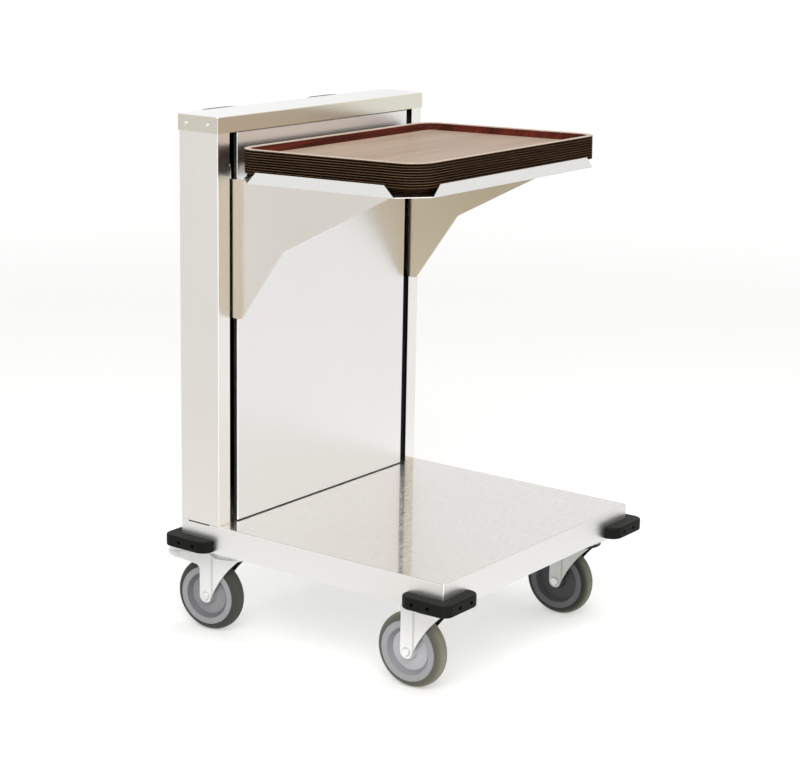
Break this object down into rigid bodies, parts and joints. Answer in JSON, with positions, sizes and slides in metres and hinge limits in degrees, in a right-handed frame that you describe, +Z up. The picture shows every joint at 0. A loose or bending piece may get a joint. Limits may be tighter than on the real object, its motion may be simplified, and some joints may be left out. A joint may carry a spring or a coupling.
{
  "type": "tray dispenser",
  "caption": "Stainless trolley on castors: a spring-carried platform on a column keeps a stack of serving trays at hand height above an open deck.",
  "frame": {"origin": "on the floor under the middle of the trolley's overall box", "axes": "+Z up, -Y towards the trolley's open front where trays are taken, +Y towards the column and handles, +X to the right when facing along +Y"},
  "size_m": [0.596, 0.6156, 0.88],
  "materials": {
    "stainless_sheet": "satin",
    "inner_sheet": "mill",
    "zinc_plate": "bright zinc plate",
    "bright_steel": "bright",
    "black_rubber": "matt",
    "grey_tyre": "matt",
    "grey_plastic": "satin",
    "white_plastic": "satin",
    "black_plastic": "satin",
    "tray_laminate": "satin laminate"
  },
  "bodies": {
    "frame": {"base_deck": "stainless_sheet", "bumper_front_left": "black_rubber", "bumper_front_right": "black_rubber", "bumper_rear_left": "black_rubber", "bumper_rear_right": "black_rubber", "bumper_screws": "bright_steel", "cap_rivets": "bright_steel", "castor_bolts": "zinc_plate", "castor_channel_left": "inner_sheet", "castor_channel_right": "inner_sheet", "castor_plate_front_left": "zinc_plate", "castor_plate_front_right": "zinc_plate", "castor_plate_rear_left": "zinc_plate", "castor_plate_rear_right": "zinc_plate", "column_cap": "stainless_sheet", "column_foot": "inner_sheet", "front_panel": "stainless_sheet", "guide_rail_left": "inner_sheet", "guide_rail_right": "inner_sheet", "post_left": "stainless_sheet", "post_right": "stainless_sheet", "rear_handle_left": "black_plastic", "rear_handle_right": "black_plastic", "rear_panel": "stainless_sheet", "spring_bar_top": "bright_steel", "stop_buffers": "black_rubber", "tension_spring_left": "bright_steel", "tension_spring_middle": "bright_steel", "tension_spring_right": "bright_steel", "top_cross_member": "inner_sheet"},
    "carriage": {"gusset_left": "stainless_sheet", "gusset_right": "stainless_sheet", "carriage_plate": "inner_sheet", "spring_bar_bottom": "bright_steel", "roller_pins": "bright_steel", "tray_platform": "stainless_sheet", "tray_stack": "tray_laminate"},
    "top_tray": {"top_tray": "tray_laminate"},
    "fork_front_left": {"castor_fork_front_left": "zinc_plate", "castor_axle_front_left": "zinc_plate"},
    "wheel_front_left": {"wheel_centre_front_left": "grey_plastic", "tyre_front_left": "grey_tyre"},
    "fork_front_right": {"castor_fork_front_right": "zinc_plate", "castor_axle_front_right": "zinc_plate"},
    "wheel_front_right": {"wheel_centre_front_right": "grey_plastic", "tyre_front_right": "grey_tyre"},
    "fork_rear_left": {"castor_fork_rear_left": "zinc_plate", "castor_axle_rear_left": "zinc_plate"},
    "wheel_rear_left": {"wheel_centre_rear_left": "grey_plastic", "tyre_rear_left": "grey_tyre"},
    "fork_rear_right": {"castor_fork_rear_right": "zinc_plate", "castor_axle_rear_right": "zinc_plate"},
    "wheel_rear_right": {"wheel_centre_rear_right": "grey_plastic", "tyre_rear_right": "grey_tyre"},
    "pedal_rear_left": {"brake_pedal_rear_left": "zinc_plate"},
    "pedal_rear_right": {"brake_pedal_rear_right": "zinc_plate"},
    "roller_high_left": {"guide_roller_high_left": "white_plastic"},
    "roller_high_right": {"guide_roller_high_right": "white_plastic"},
    "roller_low_left": {"guide_roller_low_left": "white_plastic"},
    "roller_low_right": {"guide_roller_low_right": "white_plastic"}
  },
  "joints": [
    {"name": "platform_lift", "type": "slide", "parent": "frame", "child": "carriage", "axis": [0, 0, 1], "range_m": [-0.3065, 0.037], "stiffness_N_per_m": 1250, "springref_m": 0.107, "deforming": ["tension_spring_left", "tension_spring_middle", "tension_spring_right"]},
    {"name": "top_tray_lift", "type": "slide", "parent": "carriage", "child": "top_tray", "axis": [0, 0.022, 0.9998], "range_m": [0, 0.25]},
    {"name": "roller_high_left_spin", "type": "hinge", "parent": "carriage", "child": "roller_high_left", "pos_m": [-0.253, 0.2087, 0.764], "axis": [1, 0, 0], "range_deg": [-812, 100]},
    {"name": "roller_high_right_spin", "type": "hinge", "parent": "carriage", "child": "roller_high_right", "pos_m": [0.253, 0.2087, 0.764], "axis": [1, 0, 0], "range_deg": [-812, 100]},
    {"name": "roller_low_left_spin", "type": "hinge", "parent": "carriage", "child": "roller_low_left", "pos_m": [-0.253, 0.2087, 0.589], "axis": [1, 0, 0], "range_deg": [-100, 812]},
    {"name": "roller_low_right_spin", "type": "hinge", "parent": "carriage", "child": "roller_low_right", "pos_m": [0.253, 0.2087, 0.589], "axis": [1, 0, 0], "range_deg": [-100, 812]},
    {"name": "swivel_front_left", "type": "hinge", "parent": "frame", "child": "fork_front_left", "pos_m": [-0.22, -0.2298, 0.148], "axis": [0, 0, 1], "continuous": true},
    {"name": "wheel_spin_front_left", "type": "hinge", "parent": "fork_front_left", "child": "wheel_front_left", "pos_m": [-0.22136, -0.19082, 0.0625], "axis": [0.9994, 0.0349, 0], "continuous": true},
    {"name": "swivel_front_right", "type": "hinge", "parent": "frame", "child": "fork_front_right", "pos_m": [0.22, -0.2298, 0.148], "axis": [0, 0, 1], "continuous": true},
    {"name": "wheel_spin_front_right", "type": "hinge", "parent": "fork_front_right", "child": "wheel_front_right", "pos_m": [0.2183, -0.19084, 0.0625], "axis": [0.999, 0.0436, 0], "continuous": true},
    {"name": "swivel_rear_left", "type": "hinge", "parent": "frame", "child": "fork_rear_left", "pos_m": [-0.22, 0.1907, 0.148], "axis": [0, 0, 1], "continuous": true},
    {"name": "wheel_spin_rear_left", "type": "hinge", "parent": "fork_rear_left", "child": "wheel_rear_left", "pos_m": [-0.22509, 0.22937, 0.0625], "axis": [0.9914, 0.1305, 0], "continuous": true},
    {"name": "swivel_rear_right", "type": "hinge", "parent": "frame", "child": "fork_rear_right", "pos_m": [0.22, 0.1907, 0.148], "axis": [0, 0, 1], "continuous": true},
    {"name": "wheel_spin_rear_right", "type": "hinge", "parent": "fork_rear_right", "child": "wheel_rear_right", "pos_m": [0.2166, 0.22955, 0.0625], "axis": [0.9962, 0.0872, 0], "continuous": true},
    {"name": "brake_rear_left", "type": "hinge", "parent": "fork_rear_left", "child": "pedal_rear_left", "pos_m": [-0.2327, 0.28717, 0.126], "axis": [0.9914, 0.1305, 0], "range_deg": [0, 16]},
    {"name": "brake_rear_right", "type": "hinge", "parent": "fork_rear_right", "child": "pedal_rear_right", "pos_m": [0.21152, 0.28763, 0.126], "axis": [0.9962, 0.0872, 0], "range_deg": [0, 16]}
  ],
  "couplings": [
    {"joint": "roller_high_left_spin", "follows": "platform_lift", "rad_per_m": 46.083},
    {"joint": "roller_high_right_spin", "follows": "platform_lift", "rad_per_m": 46.083},
    {"joint": "roller_low_left_spin", "follows": "platform_lift", "rad_per_m": -46.083},
    {"joint": "roller_low_right_spin", "follows": "platform_lift", "rad_per_m": -46.083}
  ]
}
